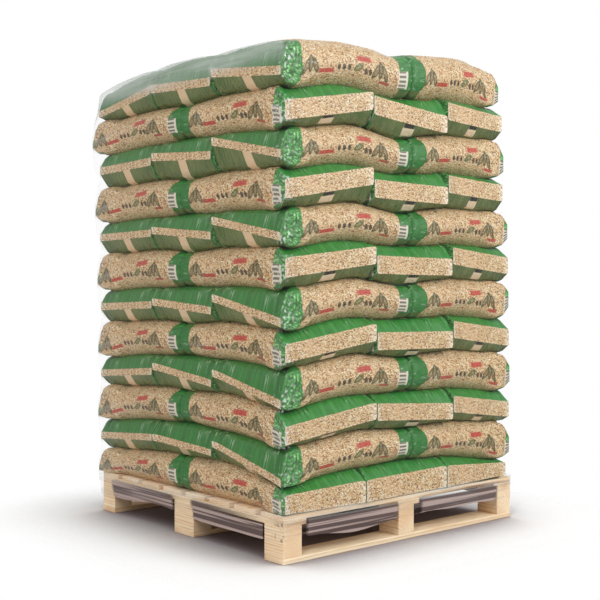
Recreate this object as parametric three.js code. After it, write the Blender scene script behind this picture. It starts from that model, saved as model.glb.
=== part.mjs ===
// A wooden pallet that carries twelve cross-laid layers of plump plastic sacks, in a sleeve of stretch film.
// Millimetres, +Z up. The origin is the middle of the pallet's underside, and the front is at -Y.
import * as THREE from "three";
import { ConvexGeometry } from "three/addons/geometries/ConvexGeometry.js";

// Pallet
const palletSide = 1140;
const boardThickness = 18;
const blockHeight = 101;
const deckBoardCount = 8;
const deckBoardWidth = 117;
const sawnEdge = 1.5;
const columnsAcross = [
  { name: "left", blockCentre: -531, blockWidth: 78, stringerCentre: -521, stringerWidth: 98 },
  { name: "middle", blockCentre: -9, blockWidth: 78, stringerCentre: 5, stringerWidth: 108 },
  { name: "right", blockCentre: 531, blockWidth: 78, stringerCentre: 521, stringerWidth: 98 },
];
const rowsDeep = [
  { name: "front", centre: -521, width: 98 },
  { name: "middle", centre: -6, width: 122 },
  { name: "back", centre: 525, width: 90 },
];
const deckTop = 3 * boardThickness + blockHeight;

// Sacks: the length and width of a sack's place in its layer
const sackLength = 570;
const sackWidth = 380;
const seamSlope = 40;
const cornerPull = 18;
const endToEndGroove = 30;
const sideBySideGroove = 24;
const restGap = 0.3;
const crownHeight = 26;
const crownAtSlope = 17;

// The sides of a sack bulge between its rims, and its ends carry a flat seal.
// Each row of a face: how far it stands back from the widest line, and its share of the layer's height.
const longSideRows = [
  { back: 36, share: 0.08 },
  { back: 8, share: 0.28 },
  { back: 0, share: 0.52 },
  { back: 10, share: 0.76 },
  { back: 38, share: 0.93 },
];
const endRows = [
  { back: 46, share: 0.1 },
  { back: 4, share: 0.28 },
  { back: 0, share: 0.5 },
  { back: 3, share: 0.72 },
  { back: 46, share: 0.94 },
];

// The seam on top of each layer: its height at the near corner, and its rise from there
// at a quarter, half, three quarters and the end of the left face and of the front face.
const seams = [
  { corner: 240, left: [46, 42, 30, 5], front: [31, 34, 30, -18] },
  { corner: 360, left: [27, 37, 30, 5], front: [38, 24, 32, 10] },
  { corner: 486, left: [35, 30, 30, 12], front: [38, 30, 36, 5] },
  { corner: 615, left: [22, 24, 22, 0], front: [47, 21, 43, 20] },
  { corner: 740, left: [26, 17, 25, 10], front: [52, 34, 52, 30] },
  { corner: 872, left: [18, 14, 18, 8], front: [48, 18, 50, 38] },
  { corner: 1010, left: [11, 4, 22, 12], front: [45, 21, 45, 35] },
  { corner: 1132, left: [15, 16, 24, 20], front: [46, 12, 50, 46] },
  { corner: 1268, left: [15, 8, 24, 18], front: [46, 15, 52, 42] },
  { corner: 1390, left: [26, 32, 43, 38], front: [52, 16, 62, 64] },
  { corner: 1528, left: [20, 17, 33, 32], front: [54, 19, 63, 56] },
  { corner: 1668, left: [10, 20, 18, -22], front: [34, 24, 54, -10] },
];
// How far each layer reaches to the right and to the back of the pallet's middle, from the bottom up.
const reachRight = [530, 555, 550, 558, 550, 552, 545, 545, 512, 521, 507, 490];
const reachBack = [550, 570, 556, 570, 556, 572, 562, 578, 578, 580, 600, 590];
const reachNear = 574;
const farSideHump = [30, 12, 30];
const crownRise = 6;
const sagGap = 5;
const innerShare = 0.65;
const middleHalf = 200;

// Stretch film
const filmThickness = 0.5;
const filmClearance = 0.8;
const filmCorner = 34;
const filmCornerAtDeck = 1;
const filmTopShare = 0.8;
const widestShare = 0.5;
const filmBottom = 138;
const filmDip = 5;

const wood = new THREE.MeshStandardMaterial({ color: 0xe0bd8c, roughness: 0.8, metalness: 0 });
const printedPlastic = new THREE.MeshStandardMaterial({ color: 0x9fae6a, roughness: 0.35, metalness: 0 });
const clearFilm = new THREE.MeshStandardMaterial({
  color: 0xe8eeee,
  roughness: 0.15,
  metalness: 0,
  transparent: true,
  opacity: 0.25,
});

const part = new THREE.Group();

function addMesh(name, geometry, material) {
  const mesh = new THREE.Mesh(geometry, material);
  mesh.name = name;
  part.add(mesh);
  return mesh;
}

// A sawn piece with its edges broken, placed by its middle.
function addTimber(name, size, centre) {
  const corners = [];
  for (const x of [-1, 1]) {
    for (const y of [-1, 1]) {
      for (const z of [-1, 1]) {
        const half = new THREE.Vector3(...size).divideScalar(2);
        for (const axis of ["x", "y", "z"]) {
          const corner = half.clone().addScalar(-sawnEdge);
          corner[axis] += sawnEdge;
          corners.push(corner.multiply(new THREE.Vector3(x, y, z)));
        }
      }
    }
  }
  const timber = addMesh(name, new ConvexGeometry(corners), wood);
  timber.position.set(...centre);
}

function addPallet() {
  for (const row of rowsDeep) {
    const size = [palletSide, row.width, boardThickness];
    addTimber(`pallet_bottom_board_${row.name}`, size, [0, row.centre, boardThickness / 2]);
  }
  for (const row of rowsDeep) {
    for (const column of columnsAcross) {
      const size = [column.blockWidth, row.width, blockHeight];
      const centre = [column.blockCentre, row.centre, boardThickness + blockHeight / 2];
      addTimber(`pallet_block_${row.name}_${column.name}`, size, centre);
    }
  }
  for (const column of columnsAcross) {
    const size = [column.stringerWidth, palletSide, boardThickness];
    const centre = [column.stringerCentre, 0, 1.5 * boardThickness + blockHeight];
    addTimber(`pallet_stringer_${column.name}`, size, centre);
  }
  const step = (palletSide - deckBoardWidth) / (deckBoardCount - 1);
  for (let i = 0; i < deckBoardCount; i++) {
    const size = [palletSide, deckBoardWidth, boardThickness];
    const centre = [0, (deckBoardWidth - palletSide) / 2 + i * step, deckTop - boardThickness / 2];
    addTimber(`pallet_deck_board_${i + 1}`, size, centre);
  }
}

// The height of a seam at the nine points of one side, in the order front, right, back, left.
function seamSides(level) {
  if (level === 0) {
    const flat = Array(5).fill(deckTop + restGap / 2);
    return [flat, flat, flat, flat];
  }
  const seam = seams[level - 1];
  const front = [0, ...seam.front].map((rise) => seam.corner + rise);
  const left = [0, ...seam.left].map((rise) => seam.corner + rise);
  const farCorner = (front[4] + left[4]) / 2;
  const humped = (from, to) => [
    from,
    ...farSideHump.map((hump, i) => THREE.MathUtils.lerp(from, to, (i + 1) / 4) + hump),
    to,
  ];
  return [front, humped(front[4], farCorner), humped(farCorner, left[4]), left.slice().reverse()];
}

function heightAlong(points, share) {
  const at = share * (points.length - 1);
  const i = Math.min(Math.floor(at), points.length - 2);
  return THREE.MathUtils.lerp(points[i], points[i + 1], at - i);
}

// The columns of a face that shows count sacks: each sack's slopes and middle, and the groove between two.
function faceColumns(count, groove) {
  const pitch = (count === 2 ? sackLength : sackWidth);
  const columns = [];
  for (let i = 0; i < count; i++) {
    columns.push({ along: i * pitch, groove: i === 0 ? 0 : groove });
    columns.push({ along: i * pitch + seamSlope, groove: 0 });
    columns.push({ along: (i + 0.5) * pitch, groove: 0 });
    columns.push({ along: (i + 1) * pitch - seamSlope, groove: 0 });
  }
  return columns.map(({ along, groove }) => ({ share: along / (count * pitch), groove }));
}

class Skin {
  constructor() {
    this.points = [];
    this.faces = [];
  }
  add(x, y, z) {
    this.points.push(x, y, z);
    return this.points.length / 3 - 1;
  }
  // Closes the band between a ring and the ring above it or inside it.
  band(low, high) {
    for (let i = 0; i < low.length; i++) {
      const next = (i + 1) % low.length;
      this.faces.push(low[i], low[next], high[next], low[i], high[next], high[i]);
    }
  }
  // Closes a ring of four sides around a square: each side's halves lean on the corner beside them.
  square(ring, sideCounts, corners, up) {
    const face = (a, b, c) => this.faces.push(...(up ? [a, b, c] : [a, c, b]));
    let start = 0;
    sideCounts.forEach((count, side) => {
      const half = Math.floor(count / 2);
      const nextSide = (side + 1) % corners.length;
      for (let i = 0; i < count; i++) {
        const corner = corners[i < half ? side : nextSide];
        face(ring[start + i], ring[(start + i + 1) % ring.length], corner);
      }
      face(ring[start + half], corners[nextSide], corners[side]);
      start += count;
    });
    face(corners[0], corners[1], corners[2]);
    face(corners[0], corners[2], corners[3]);
  }
  geometry() {
    const geometry = new THREE.BufferGeometry();
    geometry.setAttribute("position", new THREE.Float32BufferAttribute(this.points, 3));
    geometry.setIndex(this.faces);
    geometry.computeVertexNormals();
    return geometry;
  }
}

function layerOf(level) {
  const sacksAlongX = level % 2 === 0;
  const longFace = { columns: faceColumns(2, endToEndGroove), rows: longSideRows };
  const endFace = { columns: faceColumns(3, sideBySideGroove), rows: endRows };
  const across = sacksAlongX ? longFace : endFace;
  const deep = sacksAlongX ? endFace : longFace;
  return {
    low: new THREE.Vector2(-reachNear, -reachNear),
    high: new THREE.Vector2(reachRight[level - 1], reachBack[level - 1]),
    faces: [across, deep, across, deep],
    under: seamSides(level - 1),
    over: seamSides(level),
  };
}

// One ring of points around a layer, at a row of its faces. A row stands back on every side,
// so the ring is a smaller rectangle, with its corners cut.
function layerRing(skin, layer, row) {
  const { low, high, faces, under, over } = layer;
  const ring = [];
  faces.forEach((face, side) => {
    const here = face.rows[row];
    const beside = faces[(side + 1) % 4].rows[row];
    const width = side % 2 === 0 ? high.x - low.x : high.y - low.y;
    for (const { share, groove } of face.columns) {
      const pull = share === 0 ? cornerPull : 0;
      const back = here.back + groove + pull;
      const along = beside.back + pull + share * (width - 2 * beside.back);
      const x = [low.x + along, high.x - back, high.x - along, low.x + back][side];
      const y = [low.y + back, low.y + along, high.y - back, high.y - along][side];
      const bottom = heightAlong(under[side], share);
      const top = heightAlong(over[side], share);
      ring.push(skin.add(x, y, THREE.MathUtils.lerp(bottom, top, here.share)));
    }
  });
  return ring;
}

// The flat inner part of a seam lies a little above the mean of its edge.
function innerHeight(level) {
  if (level === 0) return deckTop;
  const edge = seamSides(level).flatMap((side) => side.slice(0, 4));
  return edge.reduce((sum, z) => sum + z, 0) / edge.length + crownRise;
}

// The hidden face between two layers: it slopes in from the rim, and touches in the middle.
function closeFlat(skin, layer, rim, height, up) {
  const { low, high, faces } = layer;
  const sag = height > deckTop ? sagGap : 0;
  const away = up ? -1 : 1;
  const middleX = (low.x + high.x) / 2;
  const middleY = (low.y + high.y) / 2;
  const inner = rim.map((id) => {
    const x = middleX + innerShare * (skin.points[3 * id] - middleX);
    const y = middleY + innerShare * (skin.points[3 * id + 1] - middleY);
    return skin.add(x, y, height + away * (restGap / 2 + sag));
  });
  const corners = [[-1, -1], [1, -1], [1, 1], [-1, 1]];
  const middle = corners.map(([x, y]) =>
    skin.add(x * middleHalf, y * middleHalf, height + (away * restGap) / 2),
  );
  if (up) skin.band(rim, inner);
  else skin.band(inner, rim);
  skin.square(inner, faces.map((face) => face.columns.length), middle, up);
}

// The open top of the load: a crown on each sack and a groove between two, inside the top row's rectangle.
function closeCrowned(skin, layer, rim) {
  const { low, high, faces, over } = layer;
  const across = [...faces[0].columns, { share: 1, groove: 0 }];
  const deep = [...faces[1].columns, { share: 1, groove: 0 }];
  const backX = faces[1].rows.at(-1).back;
  const backY = faces[0].rows.at(-1).back;
  const nx = across.length - 1;
  const ny = deep.length - 1;
  const grid = deep.map(() => across.map(() => -1));
  across.forEach((_, i) => {
    if (i < nx) grid[0][i] = rim[i];
    if (i > 0) grid[ny][i] = rim[nx + ny + (nx - i)];
  });
  deep.forEach((_, j) => {
    if (j < ny) grid[j][nx] = rim[nx + j];
    if (j > 0) grid[j][0] = rim[(2 * nx + ny + (ny - j)) % rim.length];
  });
  for (let j = 1; j < ny; j++) {
    for (let i = 1; i < nx; i++) {
      const u = across[i].share;
      const v = deep[j].share;
      const between = THREE.MathUtils.lerp(heightAlong(over[0], u), heightAlong(over[2], 1 - u), v);
      const beside = THREE.MathUtils.lerp(heightAlong(over[3], 1 - v), heightAlong(over[1], v), u);
      const onSlope = i === 1 || j === 1 || i === nx - 1 || j === ny - 1;
      const crown = onSlope ? crownAtSlope : crownHeight;
      const drop = Math.max(across[i].groove, deep[j].groove);
      const x = THREE.MathUtils.lerp(low.x + backX, high.x - backX, u);
      const y = THREE.MathUtils.lerp(low.y + backY, high.y - backY, v);
      grid[j][i] = skin.add(x, y, (between + beside) / 2 + crown - drop);
    }
  }
  for (let j = 0; j < ny; j++) {
    for (let i = 0; i < nx; i++) {
      const [a, b, c, d] = [grid[j][i], grid[j][i + 1], grid[j + 1][i + 1], grid[j + 1][i]];
      skin.faces.push(a, b, c, a, c, d);
    }
  }
}

function addSackLayers() {
  for (let level = 1; level <= seams.length; level++) {
    const skin = new Skin();
    const layer = layerOf(level);
    const rings = longSideRows.map((_, row) => layerRing(skin, layer, row));
    for (let row = 1; row < rings.length; row++) skin.band(rings[row - 1], rings[row]);
    closeFlat(skin, layer, rings[0], innerHeight(level - 1), false);
    if (level < seams.length) closeFlat(skin, layer, rings.at(-1), innerHeight(level), true);
    else closeCrowned(skin, layer, rings.at(-1));
    addMesh(`sacks_layer_${String(level).padStart(2, "0")}`, skin.geometry(), printedPlastic);
  }
}

// One ring of the film: five points on each side of a box with its corners cut, at the heights of a seam.
function filmRing(skin, { low, high, corner, sides, over, share }, out) {
  const cut = corner + out;
  const ring = [];
  for (let side = 0; side < 4; side++) {
    const width = side % 2 === 0 ? high.x - low.x : high.y - low.y;
    for (const along of [cut - out, width / 4, width / 2, (3 * width) / 4, width - cut + out]) {
      const x = [low.x + along, high.x + out, high.x - along, low.x - out][side];
      const y = [low.y - out, low.y + along, high.y + out, high.y - along][side];
      const bottom = heightAlong(sides[side], along / width);
      const top = heightAlong(over[side], along / width);
      ring.push(skin.add(x, y, THREE.MathUtils.lerp(bottom, top, share)));
    }
  }
  return ring;
}

// The film touches each layer's widest line and sinks a little between two layers.
// It runs from the deck boards up to the shoulders of the top sacks.
function addFilm() {
  const near = new THREE.Vector2(-reachNear, -reachNear);
  const nearSeam = near.clone().addScalar(filmDip);
  const far = (level) => new THREE.Vector2(reachRight[level - 1], reachBack[level - 1]);
  const half = palletSide / 2;
  const deck = { low: near, high: new THREE.Vector2(half, half), corner: filmCornerAtDeck, share: 0 };
  const flat = (z) => Array(4).fill(Array(5).fill(z));
  const levels = [
    { ...deck, sides: flat(filmBottom), over: flat(filmBottom) },
    { ...deck, sides: flat(deckTop), over: flat(deckTop) },
  ];
  for (let level = 1; level <= seams.length; level++) {
    const around = { corner: filmCorner, sides: seamSides(level - 1), over: seamSides(level) };
    if (level > 1) {
      const farSeam = far(level).max(far(level - 1)).addScalar(-filmDip);
      levels.push({ ...around, low: nearSeam, high: farSeam, share: 0 });
    }
    levels.push({ ...around, low: near, high: far(level), share: widestShare });
  }
  levels.push({ ...levels.at(-1), share: filmTopShare });
  const skin = new Skin();
  const inside = levels.map((level) => filmRing(skin, level, filmClearance));
  const outside = levels.map((level) => filmRing(skin, level, filmClearance + filmThickness));
  for (let i = 1; i < levels.length; i++) {
    skin.band(outside[i - 1], outside[i]);
    skin.band(inside[i], inside[i - 1]);
  }
  skin.band(inside[0], outside[0]);
  skin.band(outside.at(-1), inside.at(-1));
  addMesh("stretch_film", skin.geometry(), clearFilm);
}

addPallet();
addSackLayers();
addFilm();

export default part;
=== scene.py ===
# %% [markdown]
# # A pallet of plastic sacks
# Seventy-two sacks of wood pellets lie crosswise in twelve layers on a wooden pallet, and stretch film
# holds them together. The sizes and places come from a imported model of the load, which is loaded first
# and isn't changed. This lesson gives it its looks: plump printed sacks, sawn wood and clear film.

# %% Load the frame
import math

import bpy
import numpy as np
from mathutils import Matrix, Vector, noise
from mathutils.bvhtree import BVHTree
from mathutils.geometry import convex_hull_2d


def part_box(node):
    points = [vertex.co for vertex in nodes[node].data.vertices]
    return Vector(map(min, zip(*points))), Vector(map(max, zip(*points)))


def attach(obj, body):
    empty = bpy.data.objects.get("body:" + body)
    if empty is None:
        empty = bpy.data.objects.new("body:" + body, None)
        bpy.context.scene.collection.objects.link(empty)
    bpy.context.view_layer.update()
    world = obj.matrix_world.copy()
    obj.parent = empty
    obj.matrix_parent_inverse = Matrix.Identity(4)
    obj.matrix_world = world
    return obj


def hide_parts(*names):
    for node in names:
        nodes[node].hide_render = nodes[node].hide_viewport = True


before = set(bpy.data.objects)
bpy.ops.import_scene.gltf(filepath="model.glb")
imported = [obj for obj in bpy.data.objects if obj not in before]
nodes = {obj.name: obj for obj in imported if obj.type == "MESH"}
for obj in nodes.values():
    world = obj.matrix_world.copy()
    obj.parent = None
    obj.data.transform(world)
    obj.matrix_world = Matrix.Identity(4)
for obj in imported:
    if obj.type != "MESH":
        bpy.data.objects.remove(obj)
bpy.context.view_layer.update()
layer_names = sorted(name for name in nodes if name.startswith("sacks_layer"))
wood_names = sorted(name for name in nodes if name.startswith("pallet"))

# %% [markdown]
# ## Small helpers
# Operators act on everything that is selected, so each step starts by deselecting. Colours are written as
# sRGB hex values, as a colour picker shows them, and the shaders want linear light.


# %% Helpers for selections and colours
def deselect():
    bpy.ops.object.select_all(action="DESELECT")


def linear(code):
    """An sRGB hex colour as linear light."""
    parts = [int(code[i : i + 2], 16) / 255 for i in (1, 3, 5)]
    return [p / 12.92 if p <= 0.04045 else ((p + 0.055) / 1.055) ** 2.4 for p in parts] + [1.0]


print("mid grey is", round(linear("#808080")[0], 3), "in linear light")


# %% [markdown]
# A material is a tree of nodes. One function adds a node with its settings and links. Two nodes come up most:
# Map Range turns a value's way between two limits into a number between 0 and 1, or between two given ones,
# and Mix blends two colours. Colours are laid over each other like coats of paint.


# %% Helpers for materials
def plug(tree, node, inputs):
    """Sets a node's inputs, in order, or by number or name. Each is a value, a hex colour, another node's
    output, or another node, which stands for the first of its outputs that is in use."""
    for socket, value in inputs.items() if isinstance(inputs, dict) else enumerate(inputs):
        if isinstance(value, str):
            value = linear(value)
        if isinstance(value, bpy.types.Node):
            value = next(output for output in value.outputs if output.enabled)
        if isinstance(value, bpy.types.NodeSocket):
            tree.links.new(value, node.inputs[socket])
        else:
            node.inputs[socket].default_value = value


def add(tree, kind, inputs=(), **settings):
    """Adds a node with its settings and links."""
    node = tree.nodes.new("ShaderNode" + kind)
    for name, value in settings.items():
        setattr(node, name, value)
    plug(tree, node, inputs)
    return node


def painted(tree, colour, coats):
    """Lays coats over a colour. Each coat is how much it covers, from 0 to 1, and its colour."""
    for cover, coat in coats:
        colour = add(tree, "Mix", {0: cover, 6: colour, 7: coat}, data_type="RGBA")
    return colour


def new_material(name):
    material = bpy.data.materials.new(name)
    material.use_nodes = True
    return material, material.node_tree, material.node_tree.nodes["Principled BSDF"]


# %% [markdown]
# ## Camera, light and floor
# The camera stands at the height of the load's middle and looks level, so upright edges stay upright.
# A pale floor and a pale world keep the light soft. One large lamp stands in front of the printed face,
# a narrow one up on the left draws the glints on the crinkled corners, and a low warm one fills the left.

# %% Camera
# Its place, turn and lens put the pallet's six visible corners where the photograph shows them.
CAMERA_PLACE = (-2.64278, -3.09882, 0.84976)
CAMERA_TURN = -0.702804
CAMERA_LENS = 61.78
CAMERA_SHIFT = -0.0032

camera_data = bpy.data.cameras.new("camera")
camera = bpy.data.objects.new("camera", camera_data)
bpy.context.scene.collection.objects.link(camera)
camera.location = CAMERA_PLACE
camera.rotation_euler = (math.pi / 2, 0, CAMERA_TURN)
camera_data.sensor_width = 36
camera_data.lens = CAMERA_LENS
camera_data.shift_y = CAMERA_SHIFT
bpy.context.scene.camera = camera
bpy.context.scene.view_settings.view_transform = "Standard"
print("camera", [round(v, 3) for v in camera.location])


# %% Lamps
def add_lamp(name, location, target, size, power, colour="#FFFFFF"):
    """A rectangular lamp that faces a point. Its size is width and height in metres."""
    data = bpy.data.lights.new(name, "AREA")
    data.shape = "RECTANGLE"
    data.size, data.size_y = size
    data.energy = power
    data.color = linear(colour)[:3]
    lamp = bpy.data.objects.new(name, data)
    bpy.context.scene.collection.objects.link(lamp)
    lamp.location = location
    facing = Vector(target) - Vector(location)
    lamp.rotation_euler = facing.to_track_quat("-Z", "Y").to_euler()


add_lamp("key_lamp", (1.6, -4.2, 3.2), (0, 0, 0.8), (2.4, 2.4), 113)
add_lamp("corner_lamp", (-3.2, -2.4, 3.4), (-0.5, -0.5, 0.9), (0.5, 2.0), 45)
add_lamp("side_lamp", (-4.4, 0.6, 0.5), (-0.5, 0.1, 0.6), (2.0, 0.8), 20, "#FFEDE2")
print(len(bpy.data.lights), "lamps")

# %% [markdown]
# The photograph shows the pallet alone on white, with a soft shadow round its foot. A white floor that ran to
# the horizon would show a grey line there. Instead a small floor fades into a backdrop, which looks white
# itself but gives less light from the sides than from above, as the room of a studio does.

# %% Backdrop
# Its light level with the load, and from 37 degrees above or below, where 0.6 is that angle's sine. Seen
# directly, it is white.
SKY_LOW = 0.20
SKY_HIGH = 0.80
SKY_HIGH_FROM = 0.6

world = bpy.data.worlds.new("pale_studio")
world.use_nodes = True
air = world.node_tree
direction = add(air, "SeparateXYZ", [add(air, "TexCoord").outputs["Generated"]])
steep = add(air, "Math", [direction.outputs["Z"]], operation="ABSOLUTE")
sky_light = add(air, "MapRange", [steep, 0.0, SKY_HIGH_FROM, SKY_LOW, SKY_HIGH])
seen = add(air, "LightPath").outputs["Is Camera Ray"]
strength = add(air, "MapRange", {0: seen, 3: sky_light, 4: 1.0})
plug(air, air.nodes["Background"], {"Color": "#FFFFFF", "Strength": strength})
bpy.context.scene.world = world
print("backdrop", len(air.nodes), "nodes")

# %% Floor
# How far from the pallet's middle part the floor starts and ends to fade
PALLET_PART = 0.5
FADE_FROM = 0.12
FADE_TO = 0.60
# In narrow places no light gets in from the side, so shade is painted into the board's colour under
# and right beside the pallet.
# How near a thing has to be to narrow a place, and how open the darkest and the brightest places are
NEAR_ENOUGH = 0.30
DARK_UP_TO = 0.42
BRIGHT_FROM = 0.92

deselect()
bpy.ops.mesh.primitive_plane_add(size=12, location=(0, 0, 0))
floor = bpy.context.object
floor.name = "floor"
# White-painted board with painted shade near the pallet. Away from the pallet it fades into the white
# backdrop, so no horizon shows.
floor_paint, tree, shader = new_material("matt_white_floor_painted_shade")
open_part = add(tree, "AmbientOcclusion", {"Distance": NEAR_ENOUGH}, samples=8).outputs["AO"]
unshaded_share = add(tree, "MapRange", [open_part, DARK_UP_TO, BRIGHT_FROM])
place = add(tree, "TexCoord").outputs["Object"]
mirrored = add(tree, "VectorMath", [place], operation="ABSOLUTE")
beside = add(tree, "VectorMath", [mirrored, (PALLET_PART, PALLET_PART, 0)], operation="SUBTRACT")
beside = add(tree, "VectorMath", [beside, (0, 0, 0)], operation="MAXIMUM")
away = add(tree, "VectorMath", [beside], operation="LENGTH")
fade = add(tree, "MapRange", [away, FADE_FROM, FADE_TO, 1.0, 0.0], interpolation_type="SMOOTHSTEP")
# The base colour is painted shade: #7F7477 where the board is narrow, near white where it is open.
plug(tree, shader, {"Base Color": painted(tree, "#7F7477", [(unshaded_share, "#FDFDFD")]), "Alpha": fade,
                    "Roughness": 0.9})
floor.data.materials.append(floor_paint)
print("floor", len(tree.nodes), "nodes")

# %% [markdown]
# ## Measure the seams
# A full sack takes the shape that its neighbours leave it, so the sacks need the surfaces between the
# layers. Each plain layer of the frame is probed with rays from above and below at a grid of points.
# Where two layers meet, the seam lies half-way between them.

# %% Seams between layers
PROBES = 25
PROBE_INSET = 0.047


def surface_of(name):
    mesh = nodes[name].data
    return BVHTree.FromPolygons([v.co for v in mesh.vertices], [p.vertices for p in mesh.polygons])


def probe(surface, low, high, downwards):
    """Heights of a layer's top or underside at a square grid of points over its box."""
    heights = np.zeros((PROBES, PROBES))
    start = high.z + 0.1 if downwards else low.z - 0.1
    for i, x in enumerate(np.linspace(low.x + PROBE_INSET, high.x - PROBE_INSET, PROBES)):
        for j, y in enumerate(np.linspace(low.y + PROBE_INSET, high.y - PROBE_INSET, PROBES)):
            hit = surface.ray_cast((x, y, start), (0, 0, -1 if downwards else 1))[0]
            heights[i, j] = hit.z if hit else math.nan
    return heights


def blurred(heights, times):
    """Evens a grid of heights out, as the film of a sack does."""
    for _ in range(times):
        wide = np.pad(heights, 1, mode="edge")
        heights = (wide[:-2, 1:-1] + wide[2:, 1:-1] + 2 * wide[1:-1, 1:-1]) / 4
        wide = np.pad(heights, 1, mode="edge")
        heights = (wide[1:-1, :-2] + wide[1:-1, 2:] + 2 * wide[1:-1, 1:-1]) / 4
    return heights


layers = []
for name in layer_names:
    low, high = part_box(name)
    surface = surface_of(name)
    layers.append({"low": low, "high": high, "top": probe(surface, low, high, True),
                   "under": probe(surface, low, high, False)})
deck_top = max(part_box(name)[1].z for name in wood_names)
for level, layer in enumerate(layers):
    above = layers[level + 1]["under"] if level + 1 < len(layers) else layer["top"]
    layer["roof"] = blurred((layer["top"] + above) / 2, 1)
    layer["base"] = layers[level - 1]["roof"] if level else np.full((PROBES, PROBES), deck_top)
print("deck top", round(deck_top, 4), "unknown", sum(int(np.isnan(l["roof"]).sum()) for l in layers))

# %% [markdown]
# Nothing presses on the top sacks, so they crown higher than the frame's plain layer, most of all towards
# their far ends.

# %% Crown the top layer
CROWN = 0.013
CROWN_TO_RIGHT = 0.016
CROWN_TO_BACK = 0.026
CROWN_AT_FAR_END = 0.030
FAR_END_FROM = 0.72
FAR_END_EASE = 0.20

to_right, to_back = np.meshgrid(np.linspace(0, 1, PROBES), np.linspace(0, 1, PROBES), indexing="ij")
far_end = np.clip((to_right - FAR_END_FROM) / FAR_END_EASE, 0, 1)
far_end = far_end * far_end * (3 - 2 * far_end)
layers[-1]["roof"] += CROWN + CROWN_TO_RIGHT * to_right + CROWN_TO_BACK * to_back + CROWN_AT_FAR_END * far_end
print("top at", round(float(layers[-1]["roof"].max()), 3))

# %% [markdown]
# ## One sack
# The real sack is a flat tube of printed film, filled and sealed at both ends. Lying in the stack, its
# long sides are round, one end is folded to a tall flat panel and the other to a narrow band. It could be
# cut from a box by hand, or blown up by a cloth simulation from a flat tube. Here a box is cut into a
# grid, which keeps the folded edges crisp, its points are moved to a plump shape like clay, and a short
# cloth simulation with air pressure lets the film between the folds swell and settle.

# %% The block that a sack starts from
SACK_LENGTH = 0.570
SACK_WIDTH = 0.380
SACK_HEIGHT = 0.126
HALF = np.array([SACK_LENGTH, SACK_WIDTH, SACK_HEIGHT]) / 2
# For its length, width and height: how wide the finely cut border is, and how far apart the cuts are in it
# and between the borders
CUTS = ((0.081, 0.009, 0.015), (0.045, 0.009, 0.0155), (0.027, 0.009, 0.009))


def cuts(half, border, fine, coarse):
    """Where to cut along one direction: close together near both ends, wider apart between them."""
    edge = np.arange(half - border, half - fine / 2, fine)
    middle = np.linspace(border - half, half - border, max(2, round(2 * (half - border) / coarse) + 1))
    return sorted({round(float(v), 6) for v in [*edge, *-edge, *middle]})


deselect()
bpy.ops.mesh.primitive_cube_add(size=1)
block = bpy.context.object
block.name = "sack_block"
block.scale = (SACK_LENGTH, SACK_WIDTH, SACK_HEIGHT)
bpy.ops.object.transform_apply(scale=True)
bpy.ops.object.mode_set(mode="EDIT")
for axis, spacing in enumerate(CUTS):
    for place in cuts(HALF[axis], *spacing):
        at = [0, 0, 0]
        normal = [0, 0, 0]
        at[axis] = place
        normal[axis] = 1
        bpy.ops.mesh.select_all(action="SELECT")
        bpy.ops.mesh.bisect(plane_co=at, plane_no=normal)
bpy.ops.object.mode_set(mode="OBJECT")


def points_of(mesh):
    values = np.zeros(len(mesh.vertices) * 3)
    mesh.vertices.foreach_get("co", values)
    return values.reshape(-1, 3)


def set_points(mesh, points):
    mesh.vertices.foreach_set("co", np.asarray(points, np.float32).ravel())
    mesh.update()


flat_block = points_of(block.data)
print("block", len(flat_block), "points", len(block.data.polygons), "faces")

# %% [markdown]
# Two kinds of sack lie in a layer. One shows its slot end outside and the other its band end, and the
# other end of each is pressed against the next sack. The print follows the film, so each corner of each
# face gets a place on it, in metres: u runs along the sack and v up the nearest long side, on over the
# top and back under the bottom. The two folded ends have places of their own, 1 m and 2 m away.

# %% Ends and print coordinates
END_SLOT_U = 1.0
END_BAND_U = 2.0
# An end face's lower and upper edge are shares of the sack's height, and the runs say how far back from
# the end the top and the underside reach full height.
SLOT_END = {"low": 0.25, "high": 0.73, "top_run": 0.034, "under_run": 0.022, "place": END_SLOT_U}
BAND_END = {"low": 0.27, "high": 0.49, "top_run": 0.030, "under_run": 0.020, "place": END_BAND_U}
PRESSED_END = {"low": 0.05, "high": 0.95, "top_run": 0.022, "under_run": 0.022, "place": 0.0}
# For each kind, the end at -X and the end at +X
KINDS = {"slot_out": (PRESSED_END, SLOT_END), "band_out": (BAND_END, PRESSED_END)}


def print_places(mesh, ends):
    """Lays the print on the flat block, the same on both long sides, and the pellets once round it."""
    for name in ("print", "pellets"):
        mesh.uv_layers.new(name=name)
    print_map, pellet_map = mesh.uv_layers["print"], mesh.uv_layers["pellets"]
    for face in mesh.polygons:
        end = ends[1] if face.normal.x > 0 else ends[0]
        folded = abs(face.normal.x) > 0.5 and end["place"] > 0
        for corner in face.loop_indices:
            x, y, z = flat_block[mesh.loops[corner].vertex_index]
            rise = z + HALF[2]
            inwards = HALF[1] - abs(y)
            place = (x, rise)
            if folded:
                place = (end["place"] + y, rise * (end["high"] - end["low"]))
            elif face.normal.z > 0.5:
                place = (x, SACK_HEIGHT + inwards)
            elif face.normal.z < -0.5:
                place = (x, -inwards)
            print_map.data[corner].uv = place
            if not folded and face.normal.z > 0.5:
                place = (x, SACK_HEIGHT + HALF[1] + y)
            elif not folded and face.normal.y > 0.5:
                place = (x, 2 * SACK_HEIGHT + 2 * HALF[1] - rise)
            pellet_map.data[corner].uv = place


print("kinds of sack:", *KINDS)

# %% [markdown]
# The box becomes a sack in one move. Towards a folded end its height shrinks to the panel there, and its
# section turns from round to square. The folded panels' edges stay sharp, with small ears at the corners.

# %% Shape the sack
SIDE_ROUND = 0.052
SQUARE_AT_END = 14.0
ROUND_IN_MIDDLE = 2.3
SQUARE_FOR = 0.045
ROUND_FROM = 0.130
EAR = 0.007
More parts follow.
